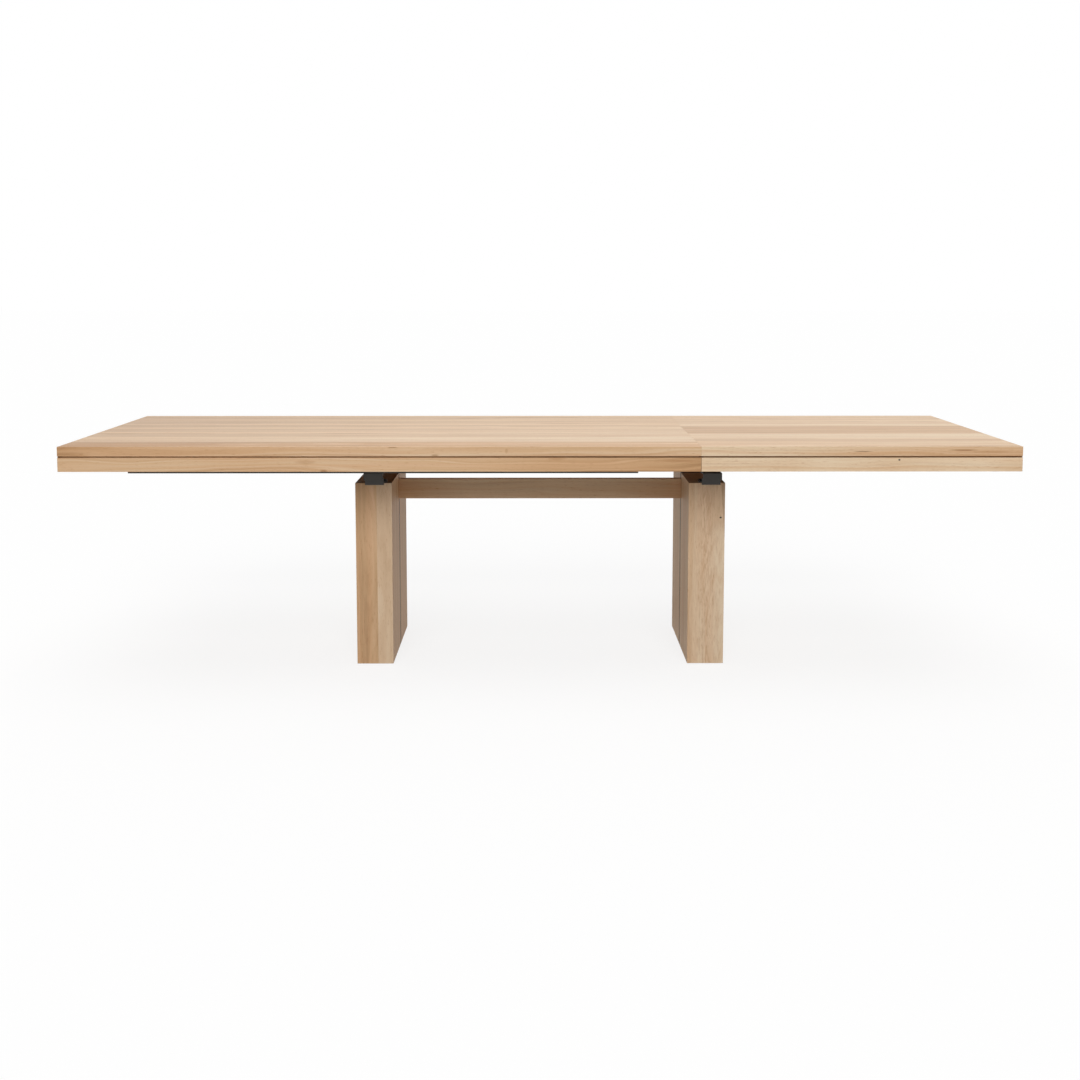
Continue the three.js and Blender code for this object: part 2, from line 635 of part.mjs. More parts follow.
function buildLeaf(table) {
  const leaf = assembly(table, leafMiddleX, 0, undersideZ);
  const studBottom = hookZ - STUD_TIP;
  // In the left rim's own frame, its length is X and its inner side is +Y.
  const studHoles = Object.values(SIDES).map((side) =>
    rod(side * HOOK_OFFSET, studX - leafLeftX, STUD_RADIUS + FIT_GAP, studBottom, STUD_DEPTH + FIT_GAP),
  );
  const endRims = { left: cut(seamRim(), ...studHoles), right: freeEndRim() };
  buildTop(leaf, 'leaf', LEAF_LENGTH, OAK_LIGHT, endRims);
  const battenX = LEAF_LENGTH / 2 - LEAF_BATTEN_INSET;
  batten(leaf, 'leaf_batten_left', -battenX);
  batten(leaf, 'leaf_batten_right', battenX);
  const runnerLeft = fixedRailHalf + RUNNER_END_SPACE - leafMiddleX;
  const runnerRight = LEAF_LENGTH / 2 - RUNNER_SETBACK;
  const runnerHalf = (ARM_WIDTH - RUNNER_NARROWING) / 2;
  const runnerBottom = armZ + armHeight + FIT_GAP - undersideZ;
  for (const [name, side] of Object.entries(SIDES)) {
    const runner = box(runnerLeft, runnerRight, -runnerHalf, runnerHalf, runnerBottom, -FIT_GAP);
    const runnerY = (side * (armInnerY + armOuterY)) / 2;
    const stud = rod(0, 0, STUD_RADIUS, studBottom, STUD_DEPTH);
    piece(leaf, `leaf_runner_${name}`, runner, BEECH, [0, runnerY, 0]);
    piece(leaf, `leaf_stud_${name}`, stud, ZINC_STEEL, [studX - leafMiddleX, side * HOOK_OFFSET, 0]);
  }
}

// ---- Pull-out arms ----

function armGeometry(side) {
  const toSide = ([y, z]) => [side * y, z];
  const wallIn = armInnerY + ARM_WALL;
  const section = outline(
    rectangle(armInnerY, armOuterY, 0, armHeight).map(toSide),
    rectangle(wallIn, armOuterY - ARM_WALL, ARM_WALL, armHeight - ARM_WALL).map(toSide),
  );
  const weldY = armInnerY + ARM_WALL / 2;
  const stopSection = outline(rectangle(armInnerY - ARM_STOP_WIDTH, weldY, 0, armHeight).map(toSide));
  const stop = alongX(stopSection, ARM_STOP_LENGTH).translate(ARM_STOP_INSET, 0, 0);
  return join(alongX(section, armLength), stop);
}

function buildArms(table) {
  const arms = assembly(table, armLeftX, 0, armZ);
  const tieSection = outline(
    rectangle(0, TIE_WIDTH, 0, END_TIE_HEIGHT),
    rectangle(ARM_WALL, TIE_WIDTH - ARM_WALL, ARM_WALL, END_TIE_HEIGHT - ARM_WALL),
  );
  const tie = acrossY(tieSection, 2 * (armInnerY - FIT_GAP));
  for (const [name, side] of Object.entries(SIDES)) {
    piece(arms, `leaf_arm_${name}`, armGeometry(side), BLACK_STEEL);
  }
  piece(arms, 'arm_end_tie', tie, BLACK_STEEL, [armLength - TIE_WIDTH, 0, 0]);
}

const table = new THREE.Group();
buildBase(table);
buildMainTop(table);
buildLeaf(table);
buildArms(table);

export default table;
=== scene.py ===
"""An oak extending table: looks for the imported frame. Metres, X to the right, Y to the rear, Z up."""

import json
from itertools import count
from math import atan2, cos, pi, radians

import bmesh
import bpy
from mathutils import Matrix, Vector


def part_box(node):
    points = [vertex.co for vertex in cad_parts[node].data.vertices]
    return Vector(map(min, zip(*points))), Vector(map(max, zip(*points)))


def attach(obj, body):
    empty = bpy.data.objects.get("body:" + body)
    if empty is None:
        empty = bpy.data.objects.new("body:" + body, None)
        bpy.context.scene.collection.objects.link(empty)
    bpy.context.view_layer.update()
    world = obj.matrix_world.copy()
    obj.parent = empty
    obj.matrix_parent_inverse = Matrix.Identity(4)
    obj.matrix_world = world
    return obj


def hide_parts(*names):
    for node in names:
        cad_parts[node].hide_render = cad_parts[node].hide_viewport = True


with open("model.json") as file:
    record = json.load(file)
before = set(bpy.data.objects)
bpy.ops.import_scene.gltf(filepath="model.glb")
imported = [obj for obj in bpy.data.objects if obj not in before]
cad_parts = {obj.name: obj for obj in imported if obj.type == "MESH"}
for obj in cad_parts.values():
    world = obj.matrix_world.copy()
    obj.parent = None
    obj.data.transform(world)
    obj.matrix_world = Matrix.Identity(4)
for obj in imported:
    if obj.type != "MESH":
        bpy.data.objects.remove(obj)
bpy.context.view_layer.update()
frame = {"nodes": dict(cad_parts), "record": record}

MM = 0.001


# ---- Camera ----

LENS_MM = 45.64
SENSOR_MM = 36
LENS_SHIFT = -0.1096296  # downwards, as a share of the sensor
CAMERA_PLACE = (-0.0193, -4.7201, 1.2643)
CAMERA_TILT = 0.10055  # radians down from level
CAMERA_PAN = -0.00409  # radians from straight to the rear


def add_camera():
    data = bpy.data.cameras.new("camera")
    data.sensor_width = SENSOR_MM
    data.lens = LENS_MM
    data.shift_y = LENS_SHIFT
    camera = bpy.data.objects.new("camera", data)
    camera.location = CAMERA_PLACE
    camera.rotation_euler = (pi / 2 - CAMERA_TILT, 0, CAMERA_PAN)
    bpy.context.scene.collection.objects.link(camera)
    bpy.context.scene.camera = camera


# ---- Nodes and colours ----


def linear(hex_colour):
    """An sRGB hex colour as linear RGBA."""
    channels = [int(hex_colour[i : i + 2], 16) / 255 for i in (1, 3, 5)]
    return [c / 12.92 if c <= 0.04045 else ((c + 0.055) / 1.055) ** 2.4 for c in channels] + [1]


def add(tree, kind, settings, **links):
    """Adds a node. Each setting is a property, a socket's value or a ramp's stops.

    Each link feeds a socket.
    """
    node = tree.nodes.new("ShaderNode" + kind)

    def socket(key):
        return next(s for s in node.inputs if key in (s.identifier, s.name.replace(" ", "_")) and s.enabled)

    for key, value in settings.items():
        if key == "stops":
            set_stops(node.color_ramp.elements, value)
        elif hasattr(node, key):
            setattr(node, key, value)
        else:
            socket(key).default_value = value
    for key, source in links.items():
        tree.links.new(source, socket(key))
    return node


def set_stops(elements, stops):
    """Gives a colour ramp its (position, hex colour) stops."""
    while len(elements) < len(stops):
        elements.new(0.5)
    for element, (position, colour) in zip(elements, stops):
        element.position = position
        element.color = linear(colour)


def spread(low, high, to_low, to_high):
    """Settings that spread the values between low and high over another range."""
    return {"From_Min": low, "From_Max": high, "To_Min": to_low, "To_Max": to_high}


def new_material(name):
    material = bpy.data.materials.new(name)
    material.use_nodes = True
    material.node_tree.nodes.clear()
    return material, material.node_tree


# ---- Wood ----

MARKS = ("tone", "board", "beside_pith", "below_pith", "dry", "streaks", "mottle", "end_grain", "shade")
GRAIN_FIRST = {"X": "XYZ", "Y": "YXZ", "Z": "ZXY"}  # along the grain, across it, and into the wood
BOARD_STEP = (3.7, 1.3, 2.1)  # how far apart two boards lie in the grain's noise
RING_STEP = 17.3  # and in the rings'
NOISE_SPAN = (0.3, 0.7)  # where most values of a noise lie
FIBRE_SPAN = (0.25, 0.75)  # wider, for a gentler swing
RING_WANDER = 13 * MM
KNOT_CORE, KNOT_RIM = 0.5, 1.2  # of a knot's size: full colour up to the first, none past the second

WOOD_TONES = (-0.2, 0.0, 0.35, 0.7, 1.0)
OAK = ("#f3dab9", "#ecceaa", "#e0b98f", "#cfa578", "#b3875b")
BEECH = ("#ead0ac", "#e0c199", "#cfa778", "#bf9462", "#a67c51")
BLUSH_TINT = "#fbebdf"
# Grey that the wood is mixed towards: less oil on the legs, painted sheen on the tops
DRY_AND_SHEEN_GREY = "#dbccb6"
STREAK_TINT = "#c3ae9a"
MOTTLE_TINT = "#c9ab90"
PORE_TINT = "#d3b79c"
END_GRAIN_TINT = "#b29d86"
# Painted shade: the dark brown of narrow grooves and the legs' joints, where shade falls in the recess,
# partly oil and dust
GROOVE_SHADE_TINT = "#4d3421"
BLACK_KNOT = "#22150c"
BROWN_KNOT = "#9e8a78"
SOFT_KNOT = "#d6c8ba"
FAINT_KNOT = "#f0e8e0"


def planed_wood(name, grain_axis, colours, knots=()):
    """Planed solid wood with a straight quiet grain.

    It is oak under a matt oil, pale to honey with brown streaks, or plain beech. Each piece carries
    these marks. "tone" runs a board from its palest (-0.2) to brown (1), and "board" gives it a grain
    of its own. "beside_pith" and "below_pith" say how far the wood grew from the middle of its tree,
    so that the growth rings run into long arches on a flat-sawn board and straight lines on a
    quartered one. "dry" greys wood that took less oil on the legs, and is painted sheen on
    the tops. "streaks" lays soft brown streaks along it, and "mottle" clouds it with patches.
    "end_grain" marks cross-cut faces, which drink more oil and look darker, and "shade" is painted
    shade in narrow grooves and joints, darkened partly by oil and dust too. knots lists (place, sizes in mm,
    tint).
    """
    material, tree = new_material(name)
    place = add(tree, "TexCoord", {}).outputs["Object"]
    marks = {mark: add(tree, "Attribute", {"attribute_name": mark}).outputs["Fac"] for mark in MARKS}
    split = add(tree, "SeparateXYZ", {}, Vector=place)
    along, across, depth = (split.outputs[letter] for letter in GRAIN_FIRST[grain_axis])
    grain = add(tree, "CombineXYZ", {}, X=along, Y=across, Z=depth).outputs[0]
    scaled = {"operation": "SCALE", "Vector": BOARD_STEP}
    apart = add(tree, "VectorMath", scaled, Scale=marks["board"]).outputs[0]
    grain = add(tree, "VectorMath", {"operation": "ADD"}, Vector=grain, Vector_001=apart).outputs[0]

    def stretched(length_mm, width_mm, detail=2.0, roughness=0.5, distortion=0.0):
        """Noise whose blotches are this long along the grain and this wide across it."""
        size = (1 / (length_mm * MM), 1 / (width_mm * MM), 1 / (width_mm * MM))
        fitted = add(tree, "VectorMath", {"operation": "MULTIPLY", "Vector_001": size}, Vector=grain)
        texture = {"Scale": 1.0, "Detail": detail, "Roughness": roughness, "Distortion": distortion}
        return add(tree, "TexNoise", texture, Vector=fitted.outputs[0]).outputs["Fac"]

    def swung(value, *swings):
        """A value that several noises swing to both sides. swings lists (noise, span, swing)."""
        for noise, span, swing in swings:
            shift = add(tree, "MapRange", spread(*span, -swing, swing), Value=noise).outputs[0]
            value = add(tree, "Math", {"operation": "ADD"}, Value=value, Value_001=shift).outputs[0]
        return value

    depth_in_tree = swung(marks["below_pith"], (stretched(620, 75), NOISE_SPAN, RING_WANDER))
    from_pith = add(tree, "CombineXYZ", {}, X=marks["beside_pith"], Y=depth_in_tree)
    from_pith = add(tree, "VectorMath", {"operation": "LENGTH"}, Vector=from_pith.outputs[0])

    def rings(width_mm, detail):
        """Growth rings about this wide. Oak's own, of 2 to 3 mm, are too fine to show from afar."""
        per_ring = {"operation": "DIVIDE", "Value_001": width_mm * MM}
        ring = add(tree, "Math", per_ring, Value=from_pith.outputs["Value"]).outputs[0]
        per_board = {"operation": "MULTIPLY", "Value_001": RING_STEP}
        own = add(tree, "Math", per_board, Value=marks["board"]).outputs[0]
        ring = add(tree, "Math", {"operation": "ADD"}, Value=ring, Value_001=own).outputs[0]
        texture = {"noise_dimensions": "1D", "Scale": 1.0, "Detail": detail}
        return add(tree, "TexNoise", texture, W=ring).outputs["Fac"]

    growth = rings(7, 3.0)
    seasons = rings(26, 1.0)
    drift = stretched(1100, 90)
    fibres = stretched(260, 1.8)
    patterns = {
        "blush": (stretched(900, 30, 1.0), spread(0.44, 0.62, 0, 0.4)),
        "streaks": (rings(13, 3.0), spread(0.5, 0.72, 0, 1)),
        "streak_lengths": (stretched(340, 40), spread(0.38, 0.66, 0, 1)),
        "patches": (stretched(36, 6, 3.0, 0.6, 0.5), spread(0.42, 0.66, 0, 1)),
        "pores": (stretched(26, 0.7, 1.0), spread(0.66, 0.74, 0, 1)),
    }
    masks = {}
    for key, (noise, limits) in patterns.items():
        masks[key] = add(tree, "MapRange", limits, Value=noise).outputs[0]

    def stained(colour, tint, *where):
        """The colour under a stain of this tint, where all of these masks meet."""
        mask = where[0]
        for other in where[1:]:
            mask = add(tree, "Math", {"operation": "MULTIPLY"}, Value=mask, Value_001=other).outputs[0]
        stain = {"data_type": "RGBA", "blend_type": "MULTIPLY", "B_Color": linear(tint)}
        return add(tree, "Mix", stain, Factor_Float=mask, A_Color=colour).outputs["Result"]

    tone = swung(
        marks["tone"],
        (growth, NOISE_SPAN, 0.18),
        (seasons, NOISE_SPAN, 0.14),
        (drift, NOISE_SPAN, 0.1),
        (fibres, FIBRE_SPAN, 0.07),
    )
    palest, brownest = WOOD_TONES[0], WOOD_TONES[-1]
    share = add(tree, "MapRange", spread(palest, brownest, 0, 1), Value=tone).outputs[0]
    tones_and_colours = zip(WOOD_TONES, colours)
    stops = [((step - palest) / (brownest - palest), hex_colour) for step, hex_colour in tones_and_colours]
    colour = add(tree, "ValToRGB", {"stops": stops}, Fac=share).outputs["Color"]
    colour = stained(colour, BLUSH_TINT, masks["blush"])
    # Greys the colour: a drier board on the legs, painted sheen on the tops
    dry_and_sheen_mix = {"data_type": "RGBA", "B_Color": linear(DRY_AND_SHEEN_GREY)}
    colour = add(tree, "Mix", dry_and_sheen_mix, Factor_Float=marks["dry"], A_Color=colour).outputs["Result"]
    colour = stained(colour, STREAK_TINT, masks["streaks"], masks["streak_lengths"], marks["streaks"])
    colour = stained(colour, MOTTLE_TINT, masks["patches"], marks["mottle"])
    colour = stained(colour, PORE_TINT, masks["pores"])
    colour = stained(colour, END_GRAIN_TINT, marks["end_grain"])
    # Painted shade: narrow grooves and joints darkened where shade falls in them, partly oil and dust
    colour = stained(colour, GROOVE_SHADE_TINT, marks["shade"])
    for centre, sizes, tint in knots:
        away = add(tree, "VectorMath", {"operation": "SUBTRACT", "Vector_001": centre}, Vector=place)
        in_sizes = {"operation": "MULTIPLY", "Vector_001": [1 / (size * MM) for size in sizes]}
        away = add(tree, "VectorMath", in_sizes, Vector=away.outputs[0])
        away = add(tree, "VectorMath", {"operation": "LENGTH"}, Vector=away.outputs[0])
        knot = add(tree, "MapRange", spread(KNOT_CORE, KNOT_RIM, 1, 0), Value=away.outputs["Value"])
        colour = stained(colour, tint, knot.outputs[0])

    ridges = add(tree, "MapRange", spread(*NOISE_SPAN, -0.3, 0.3), Value=growth).outputs[0]
    height = swung(ridges, (fibres, FIBRE_SPAN, 0.5))
    height = add(tree, "Math", {"operation": "SUBTRACT"}, Value=height, Value_001=masks["pores"]).outputs[0]
    bump = add(tree, "Bump", {"Strength": 0.25, "Distance": 0.15 * MM}, Height=height).outputs[0]
    rough = add(tree, "MapRange", spread(*NOISE_SPAN, 0.52, 0.64), Value=growth).outputs[0]
    shader = add(tree, "BsdfPrincipled", {"IOR": 1.45}, Base_Color=colour, Roughness=rough, Normal=bump)
    add(tree, "OutputMaterial", {}, Surface=shader.outputs[0])
    return material


def on_piece(node, *shares):
    """A place in a node's box, from its share along X, Y and Z."""
    low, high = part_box(node)
    return [a + (b - a) * share for a, b, share in zip(low, high, shares)]


KNOTS = {
    "X": [
        (on_piece("leaf_rim_front", 0.6155, 0.0, 0.76), (3.4, 9, 3.2), BLACK_KNOT),
        (on_piece("leaf_panel", 0.503, 0.0, 0.48), (28, 5, 1.2), BROWN_KNOT),
        (on_piece("leaf_panel", 0.815, 0.0, 0.62), (44, 5, 3.4), SOFT_KNOT),
        (on_piece("leaf_panel", 0.9, 0.0, 0.45), (60, 5, 4), FAINT_KNOT),
        (on_piece("main_panel", 0.52, 0.0, 0.93), (16, 5, 2.2), SOFT_KNOT),
        (on_piece("main_panel", 0.586, 0.0, 0.1), (12, 6, 3), SOFT_KNOT),
        (on_piece("main_panel", 0.697, 0.0, 0.55), (5, 6, 8), FAINT_KNOT),
        (on_piece("main_rim_front", 0.385, 0.0, 0.62), (34, 6, 7), FAINT_KNOT),
        (on_piece("main_rim_front", 0.413, 0.0, 0.04), (12, 6, 5), SOFT_KNOT),
        (on_piece("main_rim_front", 0.775, 0.0, 0.85), (26, 6, 6), FAINT_KNOT),
        (on_piece("main_rim_front", 0.965, 0.0, 0.69), (60, 6, 4), FAINT_KNOT),
    ],
    "Y": [],
    "Z": [(on_piece("leg_right_front_board", 0.885, 0.0, 0.81), (4.2, 9, 3.0), BLACK_KNOT)],
}
WOODS = {("oak", axis): planed_wood(f"oiled_oak_{axis.lower()}", axis, OAK, KNOTS[axis]) for axis in "XYZ"}
WOODS |= {("beech", axis): planed_wood(f"planed_beech_{axis.lower()}", axis, BEECH) for axis in "XYZ"}


# ---- Steel and nylon ----


def powder_coated_steel():
    """Steel under a dark grey textured powder coat: matt, with a fine orange-peel grain."""
    material, tree = new_material("powder_coated_steel")
    place = add(tree, "TexCoord", {}).outputs["Object"]
    grit = add(tree, "TexNoise", {"Scale": 1 / (1.2 * MM), "Detail": 2.0}, Vector=place).outputs["Fac"]
    cloud = add(tree, "TexNoise", {"Scale": 1 / (71.43 * MM), "Detail": 3.0}, Vector=place).outputs["Fac"]
    greys = {"stops": [(0.3, "#3a3936"), (0.7, "#45433f")]}
    colour = add(tree, "ValToRGB", greys, Fac=cloud).outputs["Color"]
    bump = add(tree, "Bump", {"Strength": 0.3, "Distance": 0.08 * MM}, Height=grit).outputs[0]
    rough = add(tree, "MapRange", spread(*NOISE_SPAN, 0.48, 0.6), Value=grit).outputs[0]
    shader = add(tree, "BsdfPrincipled", {}, Base_Color=colour, Roughness=rough, Normal=bump)
    add(tree, "OutputMaterial", {}, Surface=shader.outputs[0])
    return material


def zinc_plated_steel():
    """Bright zinc on turned and pressed steel: a cool grey metal with a faint cloudy bloom."""
    material, tree = new_material("zinc_plated_steel")
    place = add(tree, "TexCoord", {}).outputs["Object"]
    bloom = add(tree, "TexNoise", {"Scale": 1 / (11.11 * MM), "Detail": 4.0}, Vector=place).outputs["Fac"]
    greys = {"stops": [(0.3, "#a4a7a8"), (0.7, "#bcbdb9")]}
    colour = add(tree, "ValToRGB", greys, Fac=bloom).outputs["Color"]
    rough = add(tree, "MapRange", spread(*NOISE_SPAN, 0.28, 0.42), Value=bloom).outputs[0]
    shader = add(tree, "BsdfPrincipled", {"Metallic": 1.0}, Base_Color=colour, Roughness=rough)
    add(tree, "OutputMaterial", {}, Surface=shader.outputs[0])
    return material


def moulded_nylon():
    """Black glass-filled nylon, moulded: satin, with a faint mottle from the filler."""
    material, tree = new_material("moulded_nylon")
    place = add(tree, "TexCoord", {}).outputs["Object"]
    filler = add(tree, "TexNoise", {"Scale": 1 / (2 * MM), "Detail": 3.0}, Vector=place).outputs["Fac"]
    blacks = {"stops": [(0.3, "#1d1d1c"), (0.7, "#2a2a28")]}
    colour = add(tree, "ValToRGB", blacks, Fac=filler).outputs["Color"]
    bump = add(tree, "Bump", {"Strength": 0.2, "Distance": 0.05 * MM}, Height=filler).outputs[0]
    shader = add(tree, "BsdfPrincipled", {"Roughness": 0.5, "IOR": 1.53}, Base_Color=colour, Normal=bump)
    add(tree, "OutputMaterial", {}, Surface=shader.outputs[0])
    return material


POWDER_COAT = powder_coated_steel()
ZINC = zinc_plated_steel()
NYLON = moulded_nylon()


# ---- Pieces ----

AXIS = {"X": Vector((1, 0, 0)), "Y": Vector((0, 1, 0)), "Z": Vector((0, 0, 1))}
SIDES = ("front", "rear")
ENDS = ("left", "right")
BODY_OF = {node: body for body, nodes in frame["record"]["behaviour"]["bodies"].items() for node in nodes}
SLOT_OF = {part["node"]: part["material_slot"] for part in frame["record"]["subparts"]}
MERGE_DISTANCE = 0.01 * MM
WOOD_EDGE = 0.5 * MM
TOP_EDGE = 0.25 * MM
STEEL_EDGE = 0.6 * MM
SEAM_HAIRLINE = 0.08 * MM


def copy_of(node):
    """A CAD node's shape, with its loose triangles merged into whole faces."""
    bm = bmesh.new()
    bm.from_mesh(frame["nodes"][node].data)
    bmesh.ops.remove_doubles(bm, verts=bm.verts, dist=MERGE_DISTANCE)
    bmesh.ops.dissolve_limit(bm, angle_limit=radians(1), verts=bm.verts, edges=bm.edges)
    return bm


def ease_edges(bm, width, segments=3, sharper_than=radians(40)):
    """Rounds every edge that is sharper than this angle."""
    sharp = [e for e in bm.edges if e.is_manifold and e.calc_face_angle() > sharper_than]
    bmesh.ops.bevel(
        bm,
        geom=sharp,
        offset=width,
        offset_type="OFFSET",
        affect="EDGES",
        segments=segments,
        profile=0.5,
        material=-1,
        clamp_overlap=True,
    )


def piece(name, bm, body, slot, material, *replaced):
    mesh = bpy.data.meshes.new(name)
    bm.to_mesh(mesh)
    bm.free()
    mesh.polygons.foreach_set("use_smooth", [True] * len(mesh.polygons))
    mesh.materials.append(material)
    made = bpy.data.objects.new(name, mesh)
    bpy.context.scene.collection.objects.link(made)
    even = made.modifiers.new("even_normals", "WEIGHTED_NORMAL")
    even.keep_sharp = True
    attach(made, body)
    if replaced:
        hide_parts(*replaced)


def finished(node, bm, material):
    """Makes a node's finished piece, which stands for the node."""
    piece(f"{node}_finished", bm, BODY_OF[node], SLOT_OF[node], material, node)


def close_seam(bm):
    """Brings the main top's and the leaf's end faces together, to a hairline.

    The solids keep a running gap there, which the hooks are meant to pull shut.
    """
    left_face, right_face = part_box("main_panel")[1].x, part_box("leaf_panel")[0].x
    shift = (right_face - left_face - SEAM_HAIRLINE) / 2
    for vert in bm.verts:
        if abs(vert.co.x - left_face) < MERGE_DISTANCE:
            vert.co.x += shift
        elif abs(vert.co.x - right_face) < MERGE_DISTANCE:
            vert.co.x -= shift


# ---- Boards and their marks ----

FAR = 10  # metres: past every end of the table
FACING = 0.7  # a face looks in a direction when its normal has at least this share of it
PLAIN_STREAKS = 0.25
BOARD_NUMBERS = count()
GRAINS = 7
PITHS = ((8, 30), (95, 24), (-14, 46), (-70, 38), (26, 22))


def slice_faces(bm, faces, direction, places):
    """Cuts these faces, without opening them, where they cross each place. Returns their parts."""
    for place in places:
        verts = {vert for face in faces for vert in face.verts}
        edges = {edge for face in faces for edge in face.edges}
        plane = {"plane_co": direction * place, "plane_no": direction, "dist": MERGE_DISTANCE}
        cut = bmesh.ops.bisect_plane(bm, geom=[*verts, *edges, *faces], **plane)
        faces = [part for part in cut["geom"] if isinstance(part, bmesh.types.BMFace)]
    return faces


def mark_boards(bm, grain_axis, axis, boards):
    """Writes the wood's marks on each face corner. boards lists (end place along the axis, tone).

    PITHS are where the boards' trees had their middle, in mm beside and below each board's face.
    """
    slice_faces(bm, bm.faces[:], AXIS[axis], [end for end, tone in boards[:-1]])
    layers = {mark: bm.loops.layers.float.new(mark) for mark in MARKS}
    depth_axis = AXIS[(set("XYZ") - {grain_axis, axis}).pop()]
    places = [vert.co.dot(AXIS[axis]) for vert in bm.verts]
    top = max(vert.co.dot(depth_axis) for vert in bm.verts)
    edges = [min(places), *(end for end, tone in boards[:-1]), max(places)]
    numbers = [next(BOARD_NUMBERS) for board in boards]
    for face in bm.faces:
        middle = face.calc_center_median().dot(AXIS[axis])
        index = next((i for i, (end, tone) in enumerate(boards) if middle < end), len(boards) - 1)
        beside, below = PITHS[numbers[index] % len(PITHS)]
        pith = (edges[index] + edges[index + 1]) / 2 + beside * MM
        cross_cut = abs(face.normal.dot(AXIS[grain_axis])) > FACING
        for loop in face.loops:
            loop[layers["board"]] = 1 + numbers[index] % GRAINS
            loop[layers["beside_pith"]] = loop.vert.co.dot(AXIS[axis]) - pith
            loop[layers["below_pith"]] = top - loop.vert.co.dot(depth_axis) + below * MM
            loop[layers["tone"]] = boards[index][1]
            loop[layers["streaks"]] = PLAIN_STREAKS
            loop[layers["end_grain"]] = 1 if cross_cut else 0


def wash(bm, mark, direction, run, chosen=None):
    """Adds to a mark, evenly between (place, amount) pairs along a direction, on all faces or some."""
    faces = [face for face in bm.faces if chosen is None or chosen(face)]
    faces = slice_faces(bm, faces, direction, [place for place, amount in run[1:-1]])
    layer = bm.loops.layers.float[mark]
    for face in faces:
        for loop in face.loops:
            loop[layer] += amount_at(run, loop.vert.co.dot(direction))


def amount_at(run, place):
    for (start, before), (end, after) in zip(run, run[1:]):
        if place <= end:
            return before + (after - before) * max(0, place - start) / (end - start)
    return run[-1][1]


def run_from(start, pairs):
    """A wash's run, from (mm past a start, amount) pairs."""
    return [(start + place * MM, amount) for place, amount in pairs]


def evenly(amount):
    return [(-FAR, amount), (FAR, amount)]


def facing(direction):
    return lambda face: face.normal.dot(direction) > FACING


def between(axis, low, high):
    return lambda face: low < face.calc_center_median().dot(AXIS[axis]) < high


def staves(start, widths_and_tones):
    """Board ends along an axis, from (width in mm, tone) pairs."""
    ends = []
    for width, tone in widths_and_tones:
        start += width * MM
        ends.append((start, tone))
    return ends


def wooden(node, timber, grain_axis, boards, washes=(), edge=WOOD_EDGE):
    """A copy of a wooden node, with eased edges and its boards marked.

    boards is (axis, [(end place, tone), ...]), or one tone for a piece that is a single board.
    """
    across = "X" if grain_axis != "X" else "Y"
    axis, ends = boards if isinstance(boards, tuple) else (across, [(FAR, boards)])
    bm = copy_of(node)
    close_seam(bm)
    ease_edges(bm, edge, segments=2)
    mark_boards(bm, grain_axis, axis, ends)
    for washed in washes:
        wash(bm, *washed)
    finished(node, bm, WOODS[timber, grain_axis])


# ---- Tops ----

# Staves are (width in mm, tone) from the front edge. Runs are (mm, amount): across from the table's
# middle, or along from the main top's left end. The leaf's runs along start at the seam.
TOPS = {
    "main": {
        "staves": (
            (139, 0.66), (111, 0.30), (111, 0.30), (143, 0.18),
            (134, 0.08), (112, 0.0), (125, 0.0), (125, 0.0),
        ),
        "tone_across": (
            (-500, -0.02), (-420, 0.04), (-361, 0.08), (-330, -0.08), (-270, -0.22), (-230, -0.04),
            (-200, 0.24), (-139, 0.26), (-90, 0.12), (-40, 0.38), (4, 0.54), (30, 0.32), (60, 0.24),
            (100, 0.5), (138, 0.6), (160, 0.46), (185, 0.42), (240, 0.8), (300, 0.58), (330, 0.54),
            (370, 0.76), (420, 0.82), (500, 0.5),
        ),
        "tone_along": ((0, 0.36), (500, 0.18), (1100, -0.02), (2000, -0.14)),
        "dry_across": ((-500, 0.04), (-400, 0.1), (-350, 0.36), (500, 0.36)),
        "front_edge": (
            (0, 0.1), (200, -0.25), (450, -0.29), (800, -0.46), (1100, -0.62), (1450, -0.46), (2000, -0.38),
        ),
        "rim_tone": 0.24,
        "rim_along": (
            (0, 0.14), (250, 0.0), (600, 0.0), (900, -0.09),
            (1300, 0.07), (1550, 0.27), (1750, 0.28), (2000, 0.6),
        ),
        "groove": {"shade": 0.17, "tone": 0.35},
    },
    "leaf": {
        "staves": ((72, 0.28), (126, 0.30), (172, 0.0), (234, 0.30), (126, 0.05), (140, 0.0), (130, 0.0)),
        "tone_across": (
            (-500, 0.16), (-420, 0.16), (-350, 0.08), (-330, 0.46), (-300, 0.56), (-270, 0.34),
            (-230, 0.16), (-160, 0.12), (-130, 0.34), (-95, 0.54), (0, 0.56), (80, 0.6), (104, 0.52),
            (130, 0.34), (180, 0.22), (240, 0.74), (310, 0.42), (370, 0.56), (420, 0.52), (500, 0.36),
        ),
        "tone_along": ((0, -0.1), (1000, -0.24)),
        "dry_across": (
            (-500, 0.2), (-330, 0.3), (-140, 0.36), (-125, 0.26), (100, 0.26), (115, 0.36), (500, 0.36),
        ),
        "front_edge": ((0, -0.34), (200, -0.32), (350, -0.21), (550, -0.09), (800, 0.07), (1000, 0.11)),
        "rim_tone": 0.0,
        "rim_along": (
            (0, 0.0), (150, -0.05), (280, 0.0), (390, -0.13), (600, 0.0),
            (800, -0.22), (880, -0.22), (950, -0.06), (1000, 0.0),
        ),
        "groove": {"shade": 0.33, "tone": 1.05},
    },
}
TOP_STREAKS = 0.55
GROOVE_HEIGHT = 5 * MM
BEECH_TONE = 0.3


